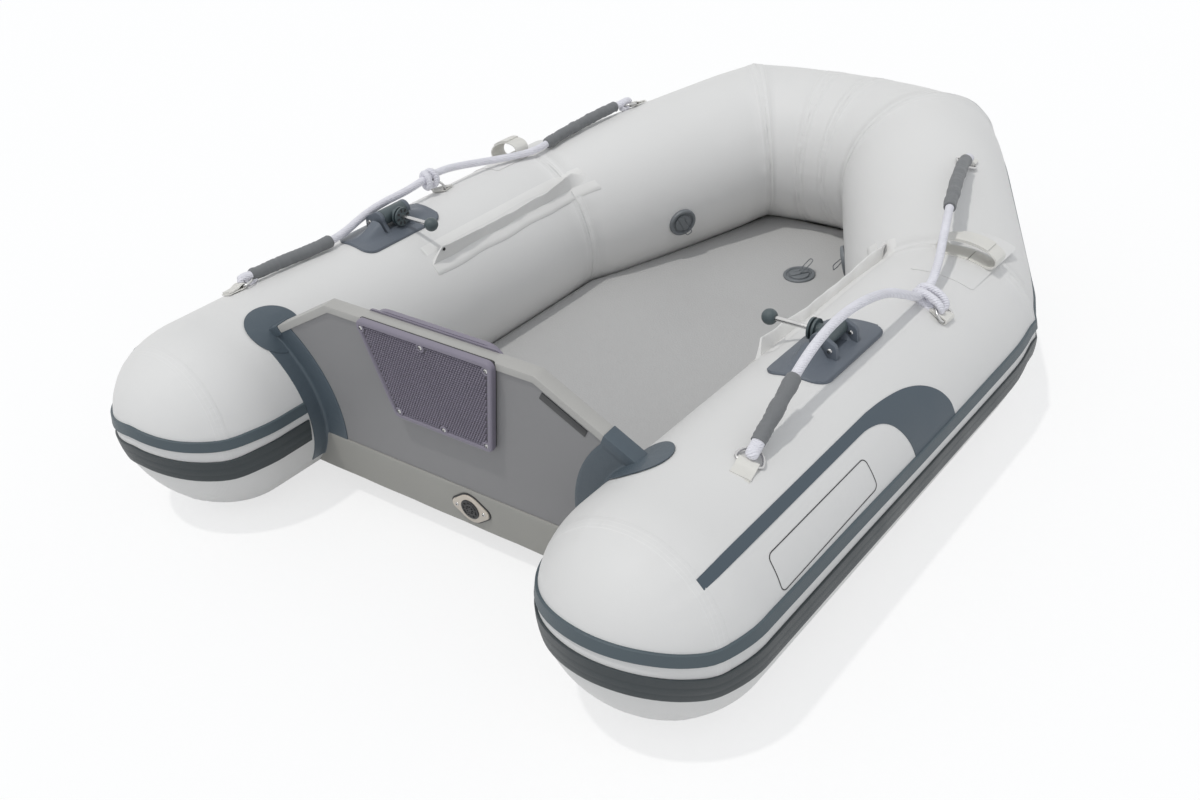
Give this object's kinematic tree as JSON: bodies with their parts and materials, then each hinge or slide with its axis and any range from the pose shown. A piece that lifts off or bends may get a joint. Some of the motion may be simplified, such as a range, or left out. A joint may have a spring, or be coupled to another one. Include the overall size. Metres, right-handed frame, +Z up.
{
  "type": "inflatable boat",
  "caption": "Small inflatable tender with a rounded bow, air floor, raked transom with motor pads, folding rowlocks and grab lines.",
  "frame": {"origin": "under the middle of the boat's box, on the surface that the two tubes stand on", "axes": "+X towards the bow, +Y to port, +Z up"},
  "size_m": [1.8964, 1.364, 0.4605],
  "materials": {
    "tube_fabric": "satin",
    "floor_fabric": "matte",
    "bottom_fabric": "satin",
    "transom_board": "satin grey sheathing",
    "trim_plastic": "satin",
    "dark_plastic": "satin",
    "pad_plastic": "satin",
    "drain_plastic": "satin",
    "black_rubber": "matte",
    "slate_rubber": "satin",
    "steel": "polished",
    "rowlock_plastic": "satin",
    "valve_plastic": "satin",
    "webbing": "woven",
    "rope": "woven",
    "sleeve_fabric": "woven"
  },
  "bodies": {
    "hull": {"air_floor": "floor_fabric", "bow_tube": "tube_fabric", "drain_flange": "drain_plastic", "drain_plug": "black_rubber", "floor_valve": "valve_plastic", "hull_bottom": "bottom_fabric", "inner_motor_pad": "pad_plastic", "outer_motor_pad": "pad_plastic", "port_bow_gore": "tube_fabric", "port_carry_handle": "webbing", "port_forward_tube": "tube_fabric", "port_grab_line": "rope", "port_grab_patches": "webbing", "port_grab_rings": "steel", "port_grab_sleeves": "sleeve_fabric", "port_lower_strake": "slate_rubber", "port_rowlock_base": "slate_rubber", "port_seat_flap": "tube_fabric", "port_side_tube": "tube_fabric", "port_tail": "tube_fabric", "port_transom_gusset": "slate_rubber", "port_upper_strake": "slate_rubber", "port_valve": "valve_plastic", "starboard_bow_gore": "tube_fabric", "starboard_carry_handle": "webbing", "starboard_forward_tube": "tube_fabric", "starboard_grab_line": "rope", "starboard_grab_patches": "webbing", "starboard_grab_rings": "steel", "starboard_grab_sleeves": "sleeve_fabric", "starboard_lower_strake": "slate_rubber", "starboard_rowlock_base": "slate_rubber", "starboard_seat_flap": "tube_fabric", "starboard_side_tube": "tube_fabric", "starboard_tail": "tube_fabric", "starboard_transom_gusset": "slate_rubber", "starboard_upper_strake": "slate_rubber", "starboard_valve": "valve_plastic", "towing_ring": "steel", "towing_ring_patch": "webbing", "transom_board": "transom_board", "transom_bottom_band": "bottom_fabric", "transom_plate": "dark_plastic", "transom_top_trim": "trim_plastic"},
    "port_rowlock_arm": {"port_rowlock_barrel": "rowlock_plastic", "port_rowlock_pin": "steel", "port_rowlock_knob": "rowlock_plastic"},
    "starboard_rowlock_arm": {"starboard_rowlock_barrel": "rowlock_plastic", "starboard_rowlock_pin": "steel", "starboard_rowlock_knob": "rowlock_plastic"}
  },
  "joints": [
    {"name": "port_rowlock_hinge", "type": "hinge", "parent": "hull", "child": "port_rowlock_arm", "pos_m": [-0.26, 0.498, 0.385], "axis": [-1, 0, 0], "range_deg": [0, 110]},
    {"name": "starboard_rowlock_hinge", "type": "hinge", "parent": "hull", "child": "starboard_rowlock_arm", "pos_m": [-0.26, -0.498, 0.385], "axis": [1, 0, 0], "range_deg": [0, 110]}
  ]
}
